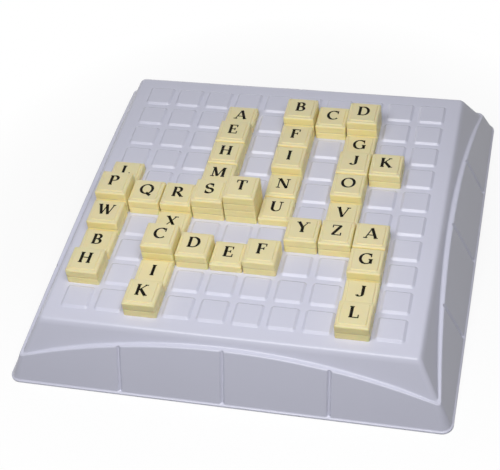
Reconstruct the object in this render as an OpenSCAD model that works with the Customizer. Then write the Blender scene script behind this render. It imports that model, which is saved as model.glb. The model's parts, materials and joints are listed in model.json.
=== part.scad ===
// Stacking word tile game: a hollow moulded board with a grid of raised studs,
// and square letter tiles that sit on the studs and stack on one another.
// The origin is under the middle of the board, +Z is up and +Y is the back row.

/* [Grid] */
// Distance from one cell to the next
pitch = 20; // [17:0.5:26]
// Flat border between the outer cells and the edge of the plate
plate_border = 8; // [5:0.5:16]
// Gap left between two neighbouring tiles
tile_gap = 0.7; // [0.4:0.1:1.2]

/* [Board] */
// Height of the plate above the table
board_h = 37; // [30:1:50]
// Thickness of the moulding, measured level at the sides
wall = 2; // [1.5:0.1:3]
// How far the upper slope would lean out between the plate and the base
side_lean = 19; // [12:0.5:26]
// Corner radius of the plate and of the upper slope
plate_r = 3; // [1:0.5:6]
// Corner radius of the skirt at the base
base_r = 6; // [3:0.5:14]
// How far the skirt would stand out from the upper slope at the height of the plate
skirt_step = 3.5; // [1.5:0.1:5]
// How far the skirt stands out from the line of the upper slope at the base
skirt_foot_step = 0.2; // [0.1:0.1:3]
// Depth of the skirt's ledge below the plate at the middle of a side
ledge_drop = 5; // [3:0.5:8]
// Further fall of the ledge from the middle of a side to its corners
ledge_fall = 16.5; // [10:0.5:18]
// How far the foot rim stands out from the skirt
rim_out = 0.5; // [0.3:0.1:2]
// Height of the foot rim
rim_h = 1.2; // [1:0.1:3]
// Distance between the grooves in a skirt
groove_spacing = 60; // [40:1:66]
// Depth of a groove in the skirt
groove_depth = 1; // [0.6:0.1:1.2]
// Width of a groove at the face of the skirt
groove_w = 3.2; // [2:0.1:5]

/* [Studs] */
// Height of the studs on the board
stud_h = 1.2; // [0.6:0.1:2]
// Corner radius of the studs
stud_r = 2; // [1:0.1:3]
// Clearance between a stud and the wall of the tile over it
stud_clearance = 0.3; // [0.2:0.05:0.5]

/* [Tiles] */
// Height that one tile adds to a stack
tile_h = 5.1; // [4:0.1:7]
// Thickness of a tile's side walls
tile_wall = 1.4; // [1:0.1:2]
// Thickness of a tile's top
tile_top = 1.4; // [1:0.1:2]
// Height of the raised face above a tile's shoulder
face_h = 0.6; // [0.4:0.1:1.6]
// Corner radius of a tile
tile_r = 1; // [0.8:0.1:3]
// Corner radius of a tile's raised face
face_r = 0.8; // [0.6:0.1:2]

/* [Hidden] */
$fn = 48;
// Cells along each side of the grid
grid_n = 10;
// Steps in each rounded corner of the board's leaning sides
corner_steps = 8;
// Least radius that a corner inside the board keeps
corner_least = 0.3;
// Steps round the circle that the ledge's long arc is part of
ledge_steps = 720;
// Overlap that lets one cut run clear through a face
cut = 1;
board_colour = [0.78, 0.78, 0.85];
tile_colour = [0.88, 0.84, 0.68];

plate_w = grid_n * pitch + 2 * plate_border;
tile_w = pitch - tile_gap;
socket_w = tile_w - 2 * tile_wall;
stud_w = socket_w - 2 * stud_clearance;
socket_r = min(stud_r, face_r) + stud_clearance;
socket_depth = tile_h + face_h - tile_top;
groove_r = (pow(groove_w / 2, 2) + pow(groove_depth, 2)) / (2 * groove_depth);
skirt_lean = side_lean + skirt_foot_step - skirt_step;
lean_angle = atan(skirt_lean / board_h);
base_w = 2 * (skirt_half(0) + rim_out);
// The ledge is an arc through the middle of a side and its two corners
ledge_end_z = board_h - ledge_drop - ledge_fall;
ledge_half = skirt_half(ledge_end_z);
ledge_r = (pow(ledge_half, 2) + pow(ledge_fall, 2)) / (2 * ledge_fall);

// Each stack of the game in play: row from the back, column from the left, tiles in the stack
stacks = [
    [2, 4, 1], [2, 6, 3], [2, 7, 2], [2, 8, 3],
    [3, 4, 2], [3, 6, 2], [3, 8, 1],
    [4, 4, 2], [4, 6, 2], [4, 8, 2], [4, 9, 2],
    [5, 1, 1], [5, 4, 2], [5, 6, 1], [5, 8, 2],
    [6, 1, 3], [6, 2, 2], [6, 3, 2], [6, 4, 3], [6, 5, 4], [6, 6, 1], [6, 8, 1],
    [7, 1, 2], [7, 3, 1], [7, 7, 2], [7, 8, 2], [7, 9, 2],
    [8, 1, 1], [8, 3, 3], [8, 4, 2], [8, 5, 1], [8, 6, 2], [8, 9, 2],
    [9, 1, 2], [9, 3, 1], [9, 9, 1],
    [10, 3, 2], [10, 9, 2],
];
// Every covered tile: its layer, counted from the board, then its row and column
covered = [for (s = stacks) if (s[2] > 1) for (layer = [1:s[2] - 1]) [layer, s[0], s[1]]];
// Covered tiles that lie side by side in one layer and are kept as one group
joined = [
    [[1, 2, 6], [1, 3, 6], [1, 4, 6]], [[1, 2, 7], [1, 2, 8]], [[1, 3, 4], [1, 4, 4], [1, 5, 4]],
    [[1, 4, 8], [1, 5, 8]], [[1, 6, 1], [1, 7, 1]], [[1, 6, 2], [1, 6, 3]], [[1, 6, 4], [1, 6, 5]],
    [[1, 7, 7], [1, 7, 8]], [[1, 7, 9], [1, 8, 9]], [[1, 8, 3], [1, 8, 4]], [[2, 6, 4], [2, 6, 5]],
];
in_a_group = [for (g = joined) for (t = g) t];
groups = concat(joined, [for (t = covered) if (search([t], in_a_group) == [[]]) [t]]);
layer_names = ["first", "second", "third"];

function top_name(s) = str("top_tile_r", s[0], "_c", s[1]);
function group_name(g) = str(layer_names[g[0][0] - 1], "_layer_r", g[0][1], "_c", g[0][2]);
function cell_place(row, col) = [(col - (grid_n + 1) / 2) * pitch, ((grid_n + 1) / 2 - row) * pitch];

// Half width of the upper slope and of the skirt at a height
function slope_half(z) = plate_w / 2 + side_lean * (1 - z / board_h);
function skirt_half(z) = plate_w / 2 + skirt_step + skirt_lean * (1 - z / board_h);
// Corner radius of the skirt at a height, as sharp as the upper slope at the ends of the ledge
function skirt_corner(z) = plate_r + (base_r - plate_r) * (1 - z / ledge_end_z);
function corner_ring(z, half, r) = [
    for (quarter = [0:3]) for (i = [0:corner_steps])
        let (turn = 90 * (quarter + i / corner_steps), middle = 45 + 90 * quarter)
        [sign(cos(middle)) * (half - r) + r * cos(turn), sign(sin(middle)) * (half - r) + r * sin(turn), z]
];

// Block with four leaning sides and rounded corners, from its lowest level up through the others
module leaning_block(levels, halves, corners) {
    count = 4 * (corner_steps + 1);
    top = len(levels) - 1;
    polyhedron(
        points = [
            for (k = [0:top])
                for (p = corner_ring(levels[k], halves[k], max(corners[k], corner_least))) p
        ],
        faces = concat(
            [[for (i = [0:count - 1]) i]],
            [[for (i = [0:count - 1]) (top + 1) * count - 1 - i]],
            [
                for (k = [0:top - 1]) for (i = [0:count - 1])
                    let (low = k * count, high = low + count, next = (i + 1) % count)
                    [low + i, high + i, high + next, low + next]
            ]
        )
    );
}

// Everything below the ledge's arcs, one arc for the front and back and one for the two ends
module under_arc(inset) {
    for (turn = [0, 90])
        rotate([90, 0, turn])
            translate([0, board_h - ledge_drop - inset - ledge_r, 0])
                cylinder(r = ledge_r, h = base_w, center = true, $fn = ledge_steps);
}

// The board's upper slope with the proud skirt below its ledge, drawn in by an inset
module side_form(inset, low) {
    high = board_h - inset;
    slope_corner = plate_r - inset;
    slope_levels = [low, high];
    skirt_levels = [low, ledge_end_z, high];
    leaning_block(slope_levels, [for (z = slope_levels) slope_half(z) - inset], [slope_corner, slope_corner]);
    intersection() {
        leaning_block(
            skirt_levels,
            [for (z = skirt_levels) skirt_half(z) - inset],
            [skirt_corner(low) - inset, slope_corner, slope_corner]
        );
        under_arc(inset);
    }
}

// Upright square block with rounded corners, standing on its origin
module rounded_prism(w, r, h) {
    linear_extrude(h) {
        square([w, w - 2 * r], center = true);
        square([w - 2 * r, w], center = true);
        for (x = [-1, 1], y = [-1, 1])
            translate([x, y] * (w / 2 - r))
                circle(r);
    }
}

// Shallow round grooves that part each skirt into four panels
module skirt_grooves() {
    past_end = 2 * groove_r;
    slope_len = board_h / cos(lean_angle);
    for (side = [0:3], k = [-1:1])
        rotate(90 * side)
            translate([k * groove_spacing, -skirt_half(0), 0])
                rotate([-lean_angle, 0, 0])
                    translate([0, groove_depth - groove_r, -past_end])
                        cylinder(r = groove_r, h = slope_len + 2 * past_end);
}

// One hollow moulding: plate, four leaning sides, foot rim and the grid of studs
module board() {
    color(board_colour)
        difference() {
            union() {
                difference() {
                    side_form(0, 0);
                    skirt_grooves();
                }
                rounded_prism(base_w, base_r + rim_out, rim_h);
                for (row = [1:grid_n], col = [1:grid_n])
                    translate(concat(cell_place(row, col), board_h - cut))
                        rounded_prism(stud_w, stud_r, stud_h + cut);
            }
            side_form(wall, -cut);
        }
}

// Hollow letter tile in one layer at a cell, with its raised face on top
module tile(layer, row, col) {
    color(tile_colour)
        translate(concat(cell_place(row, col), board_h + (layer - 1) * tile_h))
            difference() {
                union() {
                    rounded_prism(tile_w, tile_r, tile_h);
                    rounded_prism(stud_w, face_r, tile_h + face_h);
                }
                translate([0, 0, -cut])
                    rounded_prism(socket_w, socket_r, socket_depth + cut);
            }
}

// The tile that shows on top of a stack
module top_tile(s) {
    tile(s[2], s[0], s[1]);
}

// One covered tile, or a few that lie side by side in one layer
module covered_tiles(g) {
    for (t = g)
        tile(t[0], t[1], t[2]);
}

board();
for (s = stacks) top_tile(s);
for (g = groups) covered_tiles(g);
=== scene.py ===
import json
from math import atan, cos, pi, radians, sin, sqrt, tan

import bmesh
import bpy
from mathutils import Matrix, Vector


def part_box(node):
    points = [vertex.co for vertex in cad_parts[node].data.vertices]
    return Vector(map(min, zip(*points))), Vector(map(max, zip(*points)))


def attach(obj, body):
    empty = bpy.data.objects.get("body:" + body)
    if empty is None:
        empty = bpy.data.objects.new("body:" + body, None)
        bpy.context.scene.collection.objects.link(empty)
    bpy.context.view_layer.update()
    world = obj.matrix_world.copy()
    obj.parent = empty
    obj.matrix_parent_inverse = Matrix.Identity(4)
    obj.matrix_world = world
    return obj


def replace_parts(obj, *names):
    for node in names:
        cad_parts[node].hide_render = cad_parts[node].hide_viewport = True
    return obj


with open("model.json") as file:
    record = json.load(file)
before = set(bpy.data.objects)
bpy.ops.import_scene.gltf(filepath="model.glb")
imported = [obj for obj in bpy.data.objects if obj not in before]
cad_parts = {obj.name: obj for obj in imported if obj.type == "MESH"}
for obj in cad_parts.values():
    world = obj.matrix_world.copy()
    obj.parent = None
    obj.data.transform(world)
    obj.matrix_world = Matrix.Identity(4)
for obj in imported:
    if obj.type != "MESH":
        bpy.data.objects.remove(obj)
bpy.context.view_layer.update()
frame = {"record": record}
mm = 0.001

# The board is one thin moulding in lavender-grey plastic, hollow underneath, with a radius on every edge.
# Four sides lean out from the plate. Below an arched ledge each side has a proud skirt, parted by three
# shallow grooves, and the skirt ends in a small foot rim that stands on the table.
board_low, board_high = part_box("board")
tile_low, tile_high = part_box("top_tile_r5_c1")
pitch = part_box("top_tile_r6_c2")[0].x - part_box("top_tile_r6_c1")[0].x
cells = 10
plate_z = tile_low.z
plate_border = 8 * mm
plate_half = cells / 2 * pitch + plate_border
plate_corner = 3 * mm
base_corner = 6 * mm
least_corner = 0.3 * mm
side_lean = 19 * mm
wall = 2 * mm
skirt_step = 3.5 * mm
skirt_foot_step = 0.2 * mm
ledge_drop = 5 * mm
ledge_fall = 16.5 * mm
ledge_end_z = plate_z - ledge_drop - ledge_fall
rim_half = board_high.x
groove_spacing = 60 * mm
groove_depth = 1.3 * mm
groove_reach = 1.7 * mm
plate_edge_round = 3 * mm
plate_edge_fade = 12 * mm
plate_edge_turn = radians(50)
ledge_inner_round = 1.5 * mm
ledge_outer_round = 1.2 * mm
rim_edge_z = 0.4 * mm
rim_round = 0.8 * mm
rim_tilt = radians(20)
foot_round = 0.25 * mm

slope_run = side_lean / plate_z
slope_turn = pi / 2 - atan(slope_run)
skirt_run = (side_lean + skirt_foot_step - skirt_step) / plate_z
skirt_turn = pi / 2 - atan(skirt_run)
corner_steps = 8
round_steps = 4
edge_steps = 6
small_round_steps = 3
foot_steps = 2
groove_steps = 5
level_passes = 4


def open_ring(bm, places):
    """A closed ring of edges through the given places."""
    ring = bmesh.ops.create_circle(bm, cap_ends=False, radius=1, segments=len(places))["verts"]
    for vert, place in zip(ring, places):
        vert.co = place
    return ring


def ring_edges(bm, ring):
    """The edges of a ring, in order."""
    return [bm.edges.get(pair) for pair in zip(ring, ring[1:] + ring[:1])]


def next_ring(bm, ring, places):
    """Extrudes a ring once, puts the new ring at the given places and gives it back."""
    made = bmesh.ops.extrude_edge_only(bm, edges=ring_edges(bm, ring))["geom"]
    fresh = {item for item in made if isinstance(item, bmesh.types.BMVert)}
    new_ring = []
    for vert, place in zip(ring, places):
        new_vert = next(e.other_vert(vert) for e in vert.link_edges if e.other_vert(vert) in fresh)
        new_vert.co = place
        new_ring.append(new_vert)
    return new_ring


def close_ring(bm, ring):
    """Fills a ring with one face."""
    bmesh.ops.contextual_create(bm, geom=ring_edges(bm, ring))


def arc(centre, radius, start, end, steps=round_steps):
    """Points of a rounded edge in section, outward and up. Angle 0 points up, 90 degrees points outward."""
    angles = [start + (end - start) * i / steps for i in range(steps + 1)]
    return [(centre[0] + radius * sin(a), centre[1] + radius * cos(a)) for a in angles]


def slope_out(z):
    """How far the upper slope has come out from the plate's edge at a height."""
    return slope_run * (plate_z - z)


def skirt_out(z):
    """The same for the skirt."""
    return skirt_step + skirt_run * (plate_z - z)


def ledge_height(along):
    """Height of the ledge's arc at a distance from the middle of a side."""
    end_half = plate_half + skirt_out(ledge_end_z)
    radius = (end_half ** 2 + ledge_fall ** 2) / (2 * ledge_fall)
    return plate_z - ledge_drop - (radius - sqrt(radius ** 2 - along ** 2))


def groove_cut(along):
    """Depth of the nearest groove at a distance from the middle of a side."""
    nearest = min(abs(along - k * groove_spacing) for k in (-1, 0, 1))
    if nearest >= groove_reach:
        return 0
    return groove_depth * (1 + cos(pi * nearest / groove_reach)) / 2


# Stations along one side, closer together across each groove
groove_places = [
    k * groove_spacing + s * groove_reach / groove_steps
    for k in (-1, 0, 1) for s in range(-groove_steps, groove_steps + 1)
]
even_places = [k * pitch / 2 for k in range(-cells, cells + 1)]
least_spacing = groove_reach / 4
between = [x for x in even_places if all(abs(x - g) > least_spacing for g in groove_places)]
side_places = sorted(groove_places + between)
perimeter = []
for quarter in range(4):
    perimeter += [(quarter, "side", along) for along in side_places]
    perimeter += [(quarter, "corner", (i / corner_steps - 1) * pi / 2) for i in range(corner_steps + 1)]


def corner_radius(out, z):
    """Corner radius of a line round the board. The skirt grows rounder from the ledge down to the base."""
    beyond = out - slope_out(z)
    step = skirt_out(z) - slope_out(z)
    grown = (base_corner - plate_corner) * max(0, 1 - z / ledge_end_z)
    share = min(max(beyond / step, 0), 1)
    return max(plate_corner + share * grown + beyond - share * step, least_corner)


def side_spot(station, out, z, groove_share=0):
    """Where a station of the perimeter lies at a distance out from the plate's edge and a height."""
    quarter, kind, value = station
    half = plate_half + out
    corner = corner_radius(out, z)
    if kind == "side":
        spot = Vector((value, -(half - groove_share * groove_cut(value)), z))
    else:
        spot = Vector((half - corner + corner * cos(value), corner - half + corner * sin(value), z))
    return Matrix.Rotation(quarter * pi / 2, 3, "Z") @ spot


def ledge_level(station):
    """Height of the ledge at a station. Round a corner it follows the higher of the two sides' arcs."""
    if station[1] == "side":
        return ledge_height(station[2])
    level = ledge_end_z
    for _ in range(level_passes):
        spot = side_spot(station, skirt_out(level), level)
        level = max(ledge_height(spot.x), ledge_height(spot.y))
    return level


def bend(start, end):
    """Run and drop, for a radius of 1, of a rounded edge that turns between two angles."""
    return Vector((abs(sin(end) - sin(start)), -abs(cos(end) - cos(start))))


def side_section(level):
    """The moulding in section at one station: distance out, height and share of the groove."""
    # The plate's edge: a round edge that goes over into the slope with a much larger radius
    quick = bend(0, plate_edge_turn) * plate_edge_round
    slow = bend(plate_edge_turn, slope_turn) * plate_edge_fade
    edge_end_z = plate_z + quick.y + slow.y
    edge_end = Vector((slope_out(edge_end_z), edge_end_z))
    edge_start = edge_end.x - quick.x - slow.x
    edge = arc((edge_start, plate_z - plate_edge_round), plate_edge_round, 0, plate_edge_turn, edge_steps)
    slope_normal = Vector((sin(slope_turn), cos(slope_turn)))
    edge += arc(edge_end - slope_normal * plate_edge_fade, plate_edge_fade, plate_edge_turn, slope_turn)[1:]
    # The ledge: a hollow radius out of the slope, a level strip, and a round edge over the skirt
    over = bend(0, skirt_turn) * ledge_outer_round
    strip_end = skirt_out(level + over.y) - over.x
    hollow = bend(slope_turn, 0)
    hollow_reach = hollow.x + slope_run * hollow.y
    inner_round = min(ledge_inner_round, (strip_end - slope_out(level)) / hollow_reach)
    strip_start = slope_out(level) + inner_round * hollow_reach
    inner = arc((strip_start, level + inner_round), -inner_round, slope_turn, 0)
    outer = arc((strip_end, level - ledge_outer_round), ledge_outer_round, 0, skirt_turn)
    # The foot rim: the skirt flares in a hollow radius into a small rounded edge
    rim_out = rim_half - plate_half
    bead = bend(rim_tilt, pi / 2) * rim_round
    flare = bend(skirt_turn, rim_tilt)
    past_skirt = rim_out - bead.x - skirt_out(rim_edge_z - bead.y)
    flare_round = past_skirt / (flare.x + skirt_run * flare.y)
    bead_start = Vector((rim_out - bead.x, rim_edge_z - bead.y))
    flare_at = bead_start + Vector((sin(rim_tilt), cos(rim_tilt))) * flare_round
    rim_in = arc(flare_at, -flare_round, skirt_turn, rim_tilt)
    rim_edge = arc((rim_out - rim_round, rim_edge_z), rim_round, rim_tilt, pi / 2)
    under = arc((rim_out - foot_round, foot_round), foot_round, pi / 2, pi, foot_steps)
    shelf_under = level - wall
    inside = [
        (skirt_out(0) - wall, 0),
        (skirt_out(shelf_under) - wall, shelf_under),
        (slope_out(shelf_under) - wall, shelf_under),
        (slope_out(plate_z - wall) - wall, plate_z - wall),
    ]
    section = [(out, z, 0) for out, z in edge + inner]
    section += [(out, z, i / round_steps) for i, (out, z) in enumerate(outer)]
    section += [(out, z, 1 - i / round_steps) for i, (out, z) in enumerate(rim_in)]
    return section + [(out, z, 0) for out, z in rim_edge + under + inside]


board_mesh = bmesh.new()
sections = [side_section(ledge_level(station)) for station in perimeter]
plate_ring = None
for profile in zip(*sections):
    places = [side_spot(station, *point) for station, point in zip(perimeter, profile)]
    ring = next_ring(board_mesh, ring, places) if plate_ring else open_ring(board_mesh, places)
    plate_ring = plate_ring or ring
close_ring(board_mesh, ring)

# The studs are low raised squares moulded with the plate, one for each cell, and the tiles sit over them.
# Each has four ramps up to its flat top, with a small radius at the foot and the top.
stud_rise = board_high.z - plate_z
stud_half = 8.7 * mm
stud_corner = 2.4 * mm
stud_tilt = radians(38)
stud_round = 0.7 * mm


def raised_square(foot_half, height, tilt, radius):
    """Section of a low raised square: a hollow radius at the foot, a ramp and a round edge at the top."""
    ramp = (height - 2 * radius * (1 - cos(tilt))) / tan(tilt)
    top_half = foot_half - ramp - 2 * radius * sin(tilt)
    foot = arc((foot_half, radius), -radius, 0, tilt, small_round_steps)
    return foot + arc((top_half, height - radius), radius, tilt, 0, small_round_steps)


def square_places(centre, half, corner, z, steps=corner_steps):
    """Places round a square with rounded corners."""
    places = []
    for quarter in range(4):
        turn = Matrix.Rotation(quarter * pi / 2, 3, "Z")
        for i in range(steps + 1):
            angle = (i / steps - 1) * pi / 2
            spot = Vector((half - corner + corner * cos(angle), corner - half + corner * sin(angle), z))
            places.append(turn @ spot + centre)
    return places


plate_edges = ring_edges(board_mesh, plate_ring)
for row in range(cells):
    for column in range(cells):
        centre = Vector((column - (cells - 1) / 2, row - (cells - 1) / 2, 0)) * pitch
        ring = None
        for half, height in raised_square(stud_half, stud_rise, stud_tilt, stud_round):
            corner = stud_corner - stud_half + half
            places = square_places(centre, half, corner, plate_z + height, round_steps)
            if ring:
                ring = next_ring(board_mesh, ring, places)
            else:
                ring = open_ring(board_mesh, places)
                plate_edges += ring_edges(board_mesh, ring)
        close_ring(board_mesh, ring)
bmesh.ops.triangle_fill(board_mesh, use_beauty=True, edges=plate_edges)


def add_node(tree, kind, inputs, **settings):
    """Adds a shader node, sets its settings, and fills its inputs with values or links."""
    node = tree.nodes.new(kind)
    for name, value in settings.items():
        setattr(node, name, value)
    for name, value in inputs.items():
        if isinstance(value, bpy.types.NodeSocket):
            tree.links.new(value, node.inputs[name])
        else:
            node.inputs[name].default_value = value
    return node


# Moulded skin: slow cloudy changes of tone, a painted glow on upright sides (a second colour standing in for
# light through thin walls), and the fine grain of the mould
upright_side = 0.3
upright_top = 0.8
skin = bpy.data.node_groups.new("moulded_skin", "ShaderNodeTree")
for name, kind in (
    ("Colour", "NodeSocketColor"), ("Painted Light Side Colour", "NodeSocketColor"), ("Tone Change", "NodeSocketFloat"),
    ("Cloud Scale", "NodeSocketFloat"), ("Roughness", "NodeSocketFloat"),
    ("Roughness Change", "NodeSocketFloat"), ("Grain Scale", "NodeSocketFloat"),
):
    skin.interface.new_socket(name, in_out="INPUT", socket_type=kind)
for name, kind in (
    ("Colour", "NodeSocketColor"), ("Roughness", "NodeSocketFloat"), ("Height", "NodeSocketFloat"),
):
    skin.interface.new_socket(name, in_out="OUTPUT", socket_type=kind)
given = skin.nodes.new("NodeGroupInput").outputs
coordinates = skin.nodes.new("ShaderNodeTexCoord").outputs
where = coordinates["Object"]
facing = add_node(skin, "ShaderNodeSeparateXYZ", {0: coordinates["Normal"]})
upright = add_node(skin, "ShaderNodeMath", {0: facing.outputs["Z"]}, operation="ABSOLUTE")
topness = add_node(
    skin, "ShaderNodeMapRange",
    {"Value": upright.outputs[0], "From Min": upright_side, "From Max": upright_top},
)
# Upright sides take the side colour: painted light, not a colour of the plastic itself
hue = add_node(
    skin, "ShaderNodeMix", {0: topness.outputs[0], 6: given["Painted Light Side Colour"], 7: given["Colour"]},
    data_type="RGBA",
)
cloud = add_node(skin, "ShaderNodeTexNoise", {"Vector": where, "Scale": given["Cloud Scale"], "Detail": 3})
grain = add_node(skin, "ShaderNodeTexNoise", {"Vector": where, "Scale": given["Grain Scale"], "Detail": 2})
swing = add_node(skin, "ShaderNodeMath", {0: cloud.outputs["Fac"], 1: 0.5}, operation="SUBTRACT")
tone = add_node(
    skin, "ShaderNodeMath", {0: swing.outputs[0], 1: given["Tone Change"], 2: 1}, operation="MULTIPLY_ADD"
)
toned = add_node(
    skin, "ShaderNodeVectorMath", {0: hue.outputs[2], "Scale": tone.outputs[0]}, operation="SCALE"
)
gloss_swing = add_node(skin, "ShaderNodeMath", {0: grain.outputs["Fac"], 1: 0.5}, operation="SUBTRACT")
gloss = add_node(
    skin, "ShaderNodeMath", {0: gloss_swing.outputs[0], 1: given["Roughness Change"], 2: given["Roughness"]},
    operation="MULTIPLY_ADD",
)
add_node(
    skin, "NodeGroupOutput",
    {"Colour": toned.outputs[0], "Roughness": gloss.outputs[0], "Height": grain.outputs["Fac"]},
)


def moulded_plastic(
    name, colour, painted_light_side_colour, tone_change, cloud_scale, roughness, roughness_change, grain_scale, grain_depth
):
    """A plastic with the moulded skin, and its shader for the settings that only one plastic has."""
    material = bpy.data.materials.new(name)
    material.use_nodes = True
    tree = material.node_tree
    shader = tree.nodes["Principled BSDF"]
    surface = add_node(
        tree, "ShaderNodeGroup",
        {
            "Colour": (*colour, 1), "Painted Light Side Colour": (*painted_light_side_colour, 1), "Tone Change": tone_change,
            "Cloud Scale": cloud_scale, "Roughness": roughness, "Roughness Change": roughness_change,
            "Grain Scale": grain_scale,
        },
        node_tree=skin,
    )
    relief = add_node(
        tree, "ShaderNodeBump", {"Height": surface.outputs["Height"], "Distance": grain_depth, "Strength": 1}
    )
    tree.links.new(surface.outputs["Colour"], shader.inputs["Base Color"])
    tree.links.new(surface.outputs["Roughness"], shader.inputs["Roughness"])
    tree.links.new(relief.outputs["Normal"], shader.inputs["Normal"])
    return material, shader


sharp_edge = radians(40)


def finish_piece(bm, name, material, body):
    """Makes the mesh an object in the scene that rides on a body, with flat faces kept flat beside rounds."""
    bmesh.ops.recalc_face_normals(bm, faces=bm.faces)
    mesh = bpy.data.meshes.new(name)
    bm.to_mesh(mesh)
    bm.free()
    mesh.shade_smooth()
    mesh.set_sharp_from_angle(angle=sharp_edge)
    mesh.materials.append(material)
    piece = bpy.data.objects.new(name, mesh)
    bpy.context.scene.collection.objects.link(piece)
    weighting = piece.modifiers.new("flat_faces", "WEIGHTED_NORMAL")
    weighting.keep_sharp = True
    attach(piece, body)
    return piece


board_plastic, board_shader = moulded_plastic(
    "board_plastic", (0.595, 0.6, 0.712), (0.595, 0.6, 0.712), tone_change=0.05, cloud_scale=18,
    roughness=0.24, roughness_change=0.08, grain_scale=1400, grain_depth=0.004 * mm,
)
board_shader.inputs["Specular IOR Level"].default_value = 0.35
board = finish_piece(board_mesh, "board_moulding", board_plastic, "board")
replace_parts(board, "board")

# A letter tile is a hollow ivory moulding. A raised face stands on a rounded shoulder, and the socket under
# it fits over a stud or over the raised face of another tile. Tiles are only laid on, so each lifts off.
tile_half = (tile_high.x - tile_low.x) / 2
tile_corner = 1 * mm
face_top = tile_high.z - tile_low.z
face_half = 8 * mm
face_corner = 1.5 * mm
face_tilt = radians(55)
face_round = 0.35 * mm
shoulder_z = 5.1 * mm
shoulder_round = 1.2 * mm
tile_rim_round = 0.2 * mm
socket_half = 8.25 * mm
socket_corner = 1.1 * mm
socket_ceiling = 4.3 * mm
socket_round = 0.3 * mm
socket_mouth = 0.45 * mm


def tile_section():
    """The tile in section, from its socket's ceiling round to its face: half width, corner radius, height."""
    section = [
        (socket_half - socket_round, socket_corner - socket_round, socket_ceiling),
        (socket_half, socket_corner, socket_ceiling - socket_round),
        (socket_half, socket_corner, socket_mouth),
        (socket_half + socket_mouth, socket_corner, 0),
    ]
    rim = arc((tile_half - tile_rim_round, tile_rim_round), tile_rim_round, pi, pi / 2, small_round_steps)
    shoulder_at = (tile_half - shoulder_round, shoulder_z - shoulder_round)
    shoulder = arc(shoulder_at, shoulder_round, pi / 2, 0, edge_steps)
    section += [(out, tile_corner - tile_half + out, z) for out, z in rim + shoulder]
    face = raised_square(face_half, face_top - shoulder_z, face_tilt, face_round)
    return section + [(out, face_corner - face_half + out, shoulder_z + height) for out, height in face]


def add_tile(bm, centre):
    """Adds one tile, standing at a place."""
    ring = None
    for half, corner, z in tile_section():
        places = square_places(centre, half, corner, z)
        if ring:
            ring = next_ring(bm, ring, places)
        else:
            ring = open_ring(bm, places)
            close_ring(bm, ring)
    close_ring(bm, ring)


def tile_centres(node):
    """Where each tile of a node stands. A node's tiles lie side by side in one row or column."""
    low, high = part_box(node)
    across, deep = (round((high[i] - low[i]) / pitch) for i in (0, 1))
    corner = low + Vector((tile_half, tile_half, 0))
    return [corner + Vector((i, j, 0)) * pitch for j in reversed(range(deep)) for i in range(across)]


# The tiles' upright walls are lighter and more golden than their tops: painted light, standing in for light
# glowing through the thin walls and into the gaps between tiles.
tile_plastic, tile_shader = moulded_plastic(
    "tile_plastic", (0.74, 0.662, 0.396), (0.94, 0.82, 0.41), tone_change=0.06, cloud_scale=55,
    roughness=0.36, roughness_change=0.10, grain_scale=2200, grain_depth=0.006 * mm,
)
tile_shader.inputs["Specular IOR Level"].default_value = 0.35
tile_shader.inputs["Subsurface Weight"].default_value = 0.3
tile_shader.inputs["Subsurface Radius"].default_value = (1, 0.6, 0.25)
tile_shader.inputs["Subsurface Scale"].default_value = 0.6 * mm
tile_nodes = [node for node in frame["record"]["behaviour"]["bodies"] if node != "board"]
for node in tile_nodes:
    tile_mesh = bmesh.new()
    for centre in tile_centres(node):
        add_tile(tile_mesh, centre)
    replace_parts(finish_piece(tile_mesh, f"{node}_moulding", tile_plastic, node), node)

# The letters are printed on the tiles' faces in a black ink film, in a plain bold serif drawn with a pen.
# Here they run through the alphabet in order, one to a tile: the top tiles from the back row to the front,
# then the covered ones.
cap_height = 8.2 * mm
ink_film = 0.03 * mm
letter_back = 1.1 * mm
thick = 0.215
thin = 0.085
top_line = 1 - thin / 2
base_line = thin / 2
pen_angle = radians(15)
pen_contrast = 1.5
bowl_step = 12
least_bowl_steps = 4


def stem(x0, y0, x1, y1, width=thick):
    """A straight stroke, as its two points with the width at each."""
    across = Vector((y0 - y1, x1 - x0)).normalized() * width / 2
    return [(Vector(point) + across, Vector(point) - across) for point in ((x0, y0), (x1, y1))]


def hair(x0, y0, x1, y1):
    """A straight thin stroke."""
    return stem(x0, y0, x1, y1, thin)


def bowl(x, y, wide, tall, start, end, heavy=thick, pen=pen_angle):
    """A curved stroke round part of an oval, widest where it runs across the pen."""
    steps = max(least_bowl_steps, round(abs(end - start) / bowl_step))
    stroke = []
    for i in range(steps + 1):
        a = radians(start + (end - start) * i / steps)
        along = Vector((-wide * sin(a), tall * cos(a))).normalized()
        slant = abs(along.y * cos(pen) - along.x * sin(pen))
        across = Vector((along.y, -along.x)) * (thin + (heavy - thin) * slant ** pen_contrast) / 2
        middle = Vector((x + wide * cos(a), y + tall * sin(a)))
        stroke.append((middle + across, middle - across))
    return stroke


def foot(x, reach=0.15):
    """The serif at the foot of a stroke."""
    return hair(x - reach, base_line, x + reach, base_line)


def head(x, reach=0.15):
    """The serif at the head of a stroke."""
    return hair(x - reach, top_line, x + reach, top_line)


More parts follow.
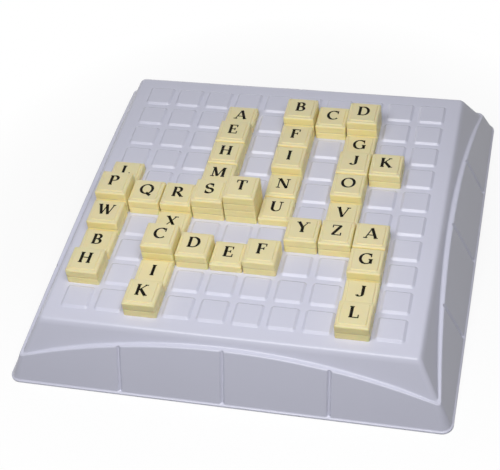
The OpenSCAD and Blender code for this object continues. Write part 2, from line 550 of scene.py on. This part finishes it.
main_stem = stem(0.17, 0, 0.17, 1)
round_c = [bowl(0.47, 0.5, 0.42, 0.47, 50, 318), hair(0.775, 0.66, 0.775, 1)]
round_o = [bowl(0.5, 0.5, 0.43, 0.47, 0, 360)]
letter_p = [main_stem, hair(0.02, top_line, 0.36, top_line), hair(0.17, 0.48, 0.36, 0.48),
            bowl(0.36, 0.725, 0.27, 0.245, 90, -90), foot(0.17)]
letter_f = [main_stem, hair(0.02, top_line, 0.64, top_line), hair(0.64, 0.74, 0.64, 1),
            hair(0.17, 0.52, 0.5, 0.52), hair(0.5, 0.4, 0.5, 0.64)]
alphabet = {
    "A": [hair(0.05, 0, 0.42, 1), stem(0.42, 1, 0.78, 0), hair(0.17, 0.32, 0.64, 0.32), foot(0.05),
          foot(0.78)],
    "B": [main_stem, hair(0.02, top_line, 0.35, top_line), hair(0.02, base_line, 0.36, base_line),
          hair(0.17, 0.52, 0.36, 0.52), bowl(0.34, 0.745, 0.25, 0.225, 90, -90),
          bowl(0.36, 0.275, 0.29, 0.245, 90, -90)],
    "C": round_c,
    "D": [main_stem, hair(0.02, top_line, 0.4, top_line), hair(0.02, base_line, 0.4, base_line),
          bowl(0.38, 0.5, 0.43, 0.47, 90, -90)],
    "E": letter_f + [hair(0.02, base_line, 0.68, base_line), hair(0.68, 0, 0.68, 0.28)],
    "F": letter_f + [foot(0.17)],
    "G": round_c + [stem(0.78, 0.06, 0.78, 0.44), hair(0.62, 0.45, 0.92, 0.45)],
    "H": [main_stem, stem(0.75, 0, 0.75, 1), hair(0.17, 0.51, 0.75, 0.51), foot(0.17), head(0.17), foot(0.75),
          head(0.75)],
    "I": [main_stem, foot(0.17), head(0.17)],
    "J": [stem(0.4, 1, 0.4, 0.22), bowl(0.205, 0.22, 0.195, 0.19, 0, -160), head(0.4)],
    "K": [main_stem, hair(0.2, 0.42, 0.7, 0.97), stem(0.34, 0.57, 0.78, 0), foot(0.17), head(0.17),
          head(0.7, 0.12), foot(0.79, 0.13)],
    "L": [main_stem, hair(0.02, base_line, 0.66, base_line), hair(0.66, 0, 0.66, 0.3), head(0.17)],
    "M": [hair(0.13, 0, 0.13, 1), stem(0.15, 1, 0.5, 0.06), hair(0.5, 0.06, 0.86, 1), stem(0.9, 0, 0.9, 1),
          foot(0.13), foot(0.9), head(0.1, 0.11), head(0.94, 0.11)],
    "N": [hair(0.12, 0, 0.12, 1), stem(0.14, 1, 0.76, 0.02), hair(0.78, 0, 0.78, 1), foot(0.12),
          head(0.09, 0.11), head(0.78)],
    "O": round_o,
    "P": letter_p,
    "Q": round_o + [stem(0.52, 0.14, 0.88, -0.14)],
    "R": letter_p + [stem(0.38, 0.48, 0.74, 0.03), foot(0.79, 0.11)],
    "S": [bowl(0.36, 0.74, 0.26, 0.23, 40, 270, pen=radians(40)),
          bowl(0.36, 0.27, 0.28, 0.24, 90, -145, pen=radians(40)),
          hair(0.575, 0.7, 0.575, 1), hair(0.115, 0, 0.115, 0.32)],
    "T": [stem(0.4, 0, 0.4, 1), hair(0.04, top_line, 0.76, top_line), hair(0.05, 0.72, 0.05, 1),
          hair(0.75, 0.72, 0.75, 1), foot(0.4)],
    "U": [stem(0.17, 1, 0.17, 0.3), bowl(0.46, 0.3, 0.29, 0.27, 180, 270),
          bowl(0.46, 0.3, 0.29, 0.27, 270, 360, heavy=thin), hair(0.75, 0.3, 0.75, 1), head(0.17),
          head(0.75)],
    "V": [stem(0.08, 1, 0.42, 0), hair(0.42, 0, 0.78, 1), head(0.08), head(0.78)],
    "W": [stem(0.06, 1, 0.34, 0), hair(0.34, 0, 0.58, 0.94), stem(0.54, 1, 0.82, 0), hair(0.82, 0, 1.1, 1),
          head(0.06), head(0.54, 0.11), head(1.1, 0.12)],
    "X": [stem(0.1, 1, 0.72, 0), hair(0.08, 0, 0.72, 1), foot(0.08), foot(0.74), head(0.1), head(0.72)],
    "Y": [stem(0.07, 1, 0.4, 0.46), hair(0.4, 0.46, 0.72, 1), stem(0.4, 0.5, 0.4, 0), foot(0.4), head(0.07),
          head(0.72)],
    "Z": [hair(0.08, top_line, 0.68, top_line), stem(0.64, 0.95, 0.12, 0.05),
          hair(0.06, base_line, 0.7, base_line), hair(0.08, 0.74, 0.08, 1), hair(0.7, 0, 0.7, 0.28)],
}


def add_letter(bm, strokes, centre):
    """Draws a letter's strokes on a tile's face by sweeping the nib's edge along each."""
    reach = [point.x for stroke in strokes for pair in stroke for point in pair]
    middle = Vector(((min(reach) + max(reach)) / 2, 0.5))
    origin = centre + Vector((0, letter_back, face_top))
    for stroke in strokes:
        corners = [[origin + (point - middle).to_3d() * cap_height for point in pair] for pair in stroke]
        nib = [bm.verts.new(place) for place in corners[0]]
        edge = bm.edges.new(nib)
        faces = []
        for pair in corners[1:]:
            made = bmesh.ops.extrude_edge_only(bm, edges=[edge])["geom"]
            fresh = {item for item in made if isinstance(item, bmesh.types.BMVert)}
            faces += [item for item in made if isinstance(item, bmesh.types.BMFace)]
            nib = [next(e.other_vert(v) for e in v.link_edges if e.other_vert(v) in fresh) for v in nib]
            for vert, place in zip(nib, pair):
                vert.co = place
            edge = bm.edges.get(nib)
        film = bmesh.ops.extrude_face_region(bm, geom=faces, use_keep_orig=True)["geom"]
        top = [item for item in film if isinstance(item, bmesh.types.BMVert)]
        bmesh.ops.translate(bm, verts=top, vec=(0, 0, ink_film))


letter_ink, ink_shader = moulded_plastic(
    "letter_ink", (0.006, 0.004, 0.002), (0.006, 0.004, 0.002), tone_change=0.5, cloud_scale=700,
    roughness=0.6, roughness_change=0.15, grain_scale=3000, grain_depth=0.004 * mm,
)
ink_shader.inputs["Specular IOR Level"].default_value = 0.1
tiles_so_far = 0
for node in tile_nodes:
    ink_mesh = bmesh.new()
    for centre in tile_centres(node):
        letter = sorted(alphabet)[tiles_so_far % len(alphabet)]
        add_letter(ink_mesh, alphabet[letter], centre)
        tiles_so_far += 1
    finish_piece(ink_mesh, f"{node}_letters", letter_ink, node)

# The stage: a plain white floor that keeps a soft shadow, under a wide soft light above and in front of the
# board, with a weak fill from the front and one from the back.
floor_half = 3
floor_below = 0.1 * mm
floor_bounce = 0.12
floor_white = 0.95
shadow_share = 0.2
shadow_full_radius = 0.13
shadow_end_radius = 0.24
floor_mesh = bmesh.new()
bmesh.ops.create_grid(floor_mesh, x_segments=1, y_segments=1, size=floor_half)
bmesh.ops.translate(floor_mesh, verts=floor_mesh.verts, vec=(0, 0, board_low.z - floor_below))
floor_data = bpy.data.meshes.new("floor")
floor_mesh.to_mesh(floor_data)
floor_mesh.free()
floor = bpy.data.objects.new("floor", floor_data)
bpy.context.scene.collection.objects.link(floor)


def seen_directly(tree):
    """1 for the rays that show the background itself, straight, in gloss or through glass."""
    path = tree.nodes.new("ShaderNodeLightPath").outputs
    two = add_node(
        tree, "ShaderNodeMath", {0: path["Is Camera Ray"], 1: path["Is Glossy Ray"]}, operation="MAXIMUM"
    )
    three = add_node(
        tree, "ShaderNodeMath", {0: two.outputs[0], 1: path["Is Transmission Ray"]}, operation="MAXIMUM"
    )
    return three.outputs[0]


floor_paper = bpy.data.materials.new("floor_paper")
floor_paper.use_nodes = True
paper = floor_paper.node_tree
paper.nodes.remove(paper.nodes["Principled BSDF"])
shown = seen_directly(paper)
floor_tone = add_node(
    paper, "ShaderNodeMapRange", {"Value": shown, "To Min": floor_bounce, "To Max": floor_white}
)
matt = add_node(paper, "ShaderNodeBsdfDiffuse", {"Color": floor_tone.outputs[0]})
glow = add_node(paper, "ShaderNodeEmission", {"Color": (1, 1, 1, 1), "Strength": 1})
floor_spot = paper.nodes.new("ShaderNodeTexCoord").outputs["Object"]
spread = add_node(paper, "ShaderNodeVectorMath", {0: floor_spot}, operation="LENGTH")
faded = add_node(
    paper, "ShaderNodeMapRange",
    {
        "Value": spread.outputs["Value"], "From Min": shadow_full_radius, "From Max": shadow_end_radius,
        "To Min": 1 - shadow_share, "To Max": 1,
    },
)
share = add_node(paper, "ShaderNodeMath", {0: shown, 1: faded.outputs[0]}, operation="MULTIPLY")
mixed = add_node(
    paper, "ShaderNodeMixShader", {0: share.outputs[0], 1: matt.outputs[0], 2: glow.outputs[0]}
)
paper.links.new(mixed.outputs[0], paper.nodes["Material Output"].inputs["Surface"])
floor_data.materials.append(floor_paper)

ambient = 0.045
world = bpy.data.worlds.new("studio")
world.use_nodes = True
bpy.context.scene.world = world
sky = world.node_tree
strength = add_node(
    sky, "ShaderNodeMapRange", {"Value": seen_directly(sky), "To Min": ambient, "To Max": 1}
)
sky.nodes["Background"].inputs["Color"].default_value = (1, 1, 1, 1)
sky.links.new(strength.outputs[0], sky.nodes["Background"].inputs["Strength"])


def soft_light(name, place, wide, deep, power):
    """A soft light at a place measured from the middle of the plate, facing it."""
    data = bpy.data.lights.new(name, "AREA")
    data.shape = "RECTANGLE"
    data.size = wide
    data.size_y = deep
    data.energy = power
    lamp = bpy.data.objects.new(name, data)
    lamp.location = Vector((0, 0, plate_z)) + Vector(place)
    lamp.rotation_euler = Vector(place).to_track_quat("Z", "Y").to_euler()
    bpy.context.scene.collection.objects.link(lamp)


soft_light("key", (0.03, -0.3, 0.6), wide=0.65, deep=0.3, power=4.7)
soft_light("front_fill", (0, -1.15, 0.36), wide=0.8, deep=0.8, power=0.2)
soft_light("back_fill", (-0.31, 0.81, 0.23), wide=0.5, deep=0.5, power=0.6)

# The camera stands in front, a little to the right, and is turned slightly about its own axis. It is the one
# that was fitted to the photo.
azimuth = radians(18.06)
elevation = radians(45.11)
roll = radians(-7.69)
camera_distance = 753.8 * mm
looking_at = Vector((-2.4, -28.9, 37)) * mm
back = Vector((sin(azimuth) * cos(elevation), -cos(azimuth) * cos(elevation), sin(elevation)))
level_right = Vector((cos(azimuth), sin(azimuth), 0))
level_up = back.cross(level_right)
right = level_right * cos(roll) + level_up * sin(roll)
up = level_up * cos(roll) - level_right * sin(roll)
camera_data = bpy.data.cameras.new("camera")
camera_data.sensor_width = 36
camera_data.lens = 92.14
camera = bpy.data.objects.new("camera", camera_data)
camera.matrix_world = Matrix.Translation(looking_at + back * camera_distance) @ Matrix(
    (right, up, back)
).transposed().to_4x4()
bpy.context.scene.collection.objects.link(camera)
bpy.context.scene.camera = camera
bpy.context.scene.view_settings.view_transform = "Standard"
